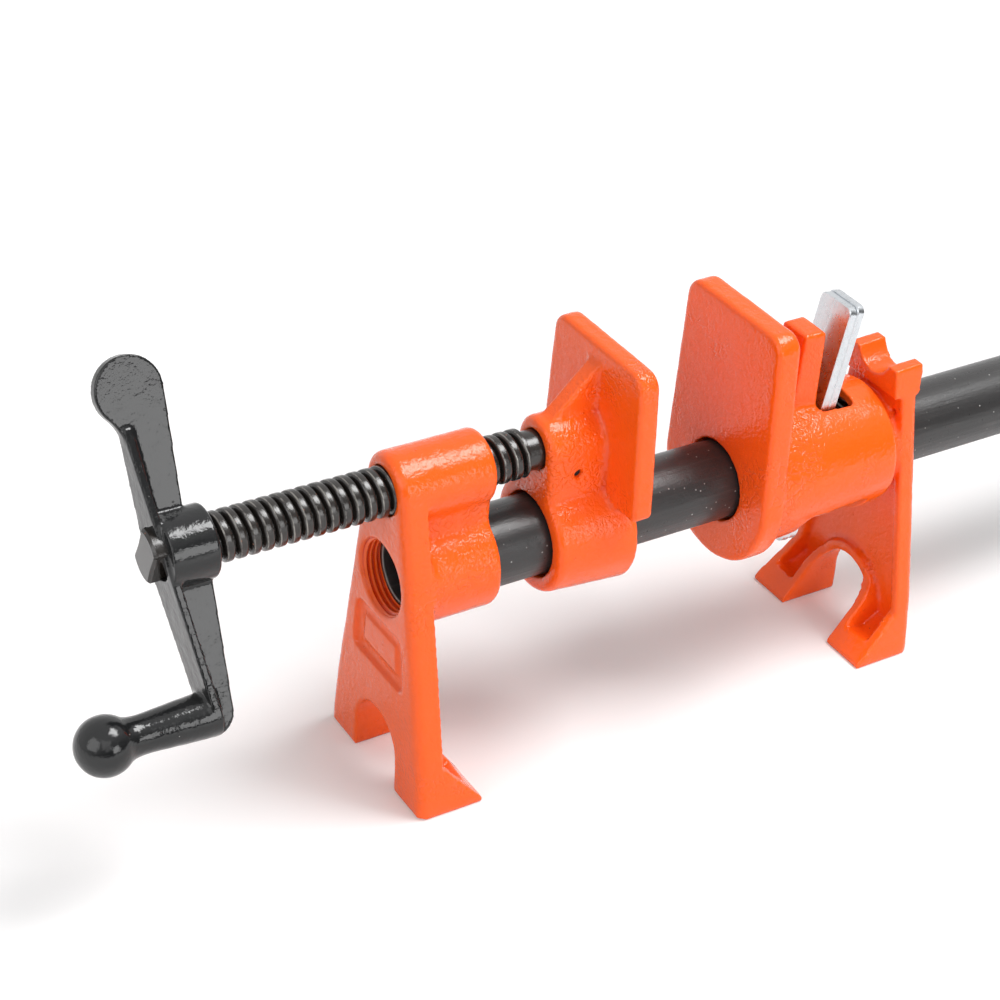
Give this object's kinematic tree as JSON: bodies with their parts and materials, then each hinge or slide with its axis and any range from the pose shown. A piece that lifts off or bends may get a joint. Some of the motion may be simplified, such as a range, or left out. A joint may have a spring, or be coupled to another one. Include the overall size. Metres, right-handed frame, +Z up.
{
  "type": "pipe clamp",
  "caption": "Bench-standing woodworking pipe clamp: cast head with crank screw and sliding jaw, and a clutch-locked tail stop, on an iron pipe.",
  "frame": {"origin": "middle of the overall box in plan, on the floor that the feet stand on", "axes": "+X along the pipe from the crank to the free end, +Z up, +Y to the left of a user at the crank"},
  "size_m": [0.726, 0.0612, 0.1607],
  "materials": {
    "orange_paint": "gloss enamel over rough cast iron",
    "black_paint": "satin black over cast iron",
    "black_pipe": "black lacquered pipe",
    "black_oxide": "oiled black oxide",
    "zinc": "bright zinc plate",
    "spring_steel": "oiled spring steel"
  },
  "bodies": {
    "head": {"clamp_head": "orange_paint", "pipe": "black_pipe"},
    "jaw": {"sliding_jaw": "orange_paint", "retaining_pin": "black_oxide"},
    "screw": {"main_screw": "black_oxide", "crank": "black_paint"},
    "tail": {"tail_stop": "orange_paint", "clutch_spring": "spring_steel"},
    "clutch": {"clutch_plate_front": "zinc", "clutch_plate_rear": "zinc"}
  },
  "joints": [
    {"name": "jaw_slide", "type": "slide", "parent": "head", "child": "jaw", "axis": [1, 0, 0], "range_m": [-0.015, 0.043]},
    {"name": "screw_turn", "type": "hinge", "parent": "jaw", "child": "screw", "pos_m": [-0.2538, 0, 0.1074], "axis": [1, 0, 0], "range_deg": [-1275, 3656]},
    {"name": "tail_slide", "type": "slide", "parent": "head", "child": "tail", "axis": [1, 0, 0], "range_m": [0, 0.4]},
    {"name": "clutch_release", "type": "hinge", "parent": "tail", "child": "clutch", "pos_m": [-0.0938, 0, 0.09296], "axis": [0, -1, 0], "range_deg": [0, 9.5], "stiffness_Nm_per_rad": 0.6, "springref_deg": -11.46, "deforming": ["clutch_spring"]}
  ],
  "couplings": [
    {"joint": "jaw_slide", "follows": "screw_turn", "m_per_rad": 0.0006737}
  ]
}
